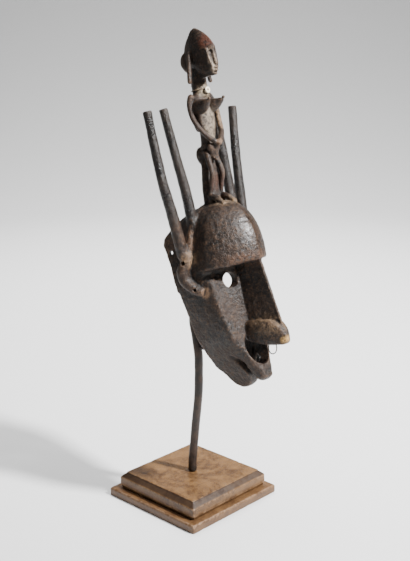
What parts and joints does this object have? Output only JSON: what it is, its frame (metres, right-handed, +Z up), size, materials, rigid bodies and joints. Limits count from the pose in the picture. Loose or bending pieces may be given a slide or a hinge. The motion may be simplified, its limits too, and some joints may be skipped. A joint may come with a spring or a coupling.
{
  "type": "ntomo mask on a display stand",
  "caption": "Carved hollow wooden face mask with tall horns and a standing female figure on the crown, held by a bent rod on a stepped wooden base.",
  "frame": {"origin": "middle of the base's flat underside", "axes": "+Z up, the face looks along -Y, +X towards the viewer's right when looking at the face"},
  "size_m": [0.2036, 0.3061, 0.7718],
  "materials": {
    "mask_wood": "near-black crusty patina, worn and polished on the dome, tan on rubbed edges",
    "wire": "thin dark iron wire",
    "thread": "brown twisted thread",
    "bead": "cream shell or bone disc, softly polished",
    "rod_metal": "dark brown satin",
    "base_wood": "waxed brown burl-like top with dark worn mouldings"
  },
  "bodies": {
    "root": {"mask": "mask_wood", "nose_ring": "wire", "neck_cord": "thread", "neck_bead": "bead", "stand_rod": "rod_metal", "base_upper": "base_wood", "base_lower": "base_wood"}
  },
  "joints": []
}
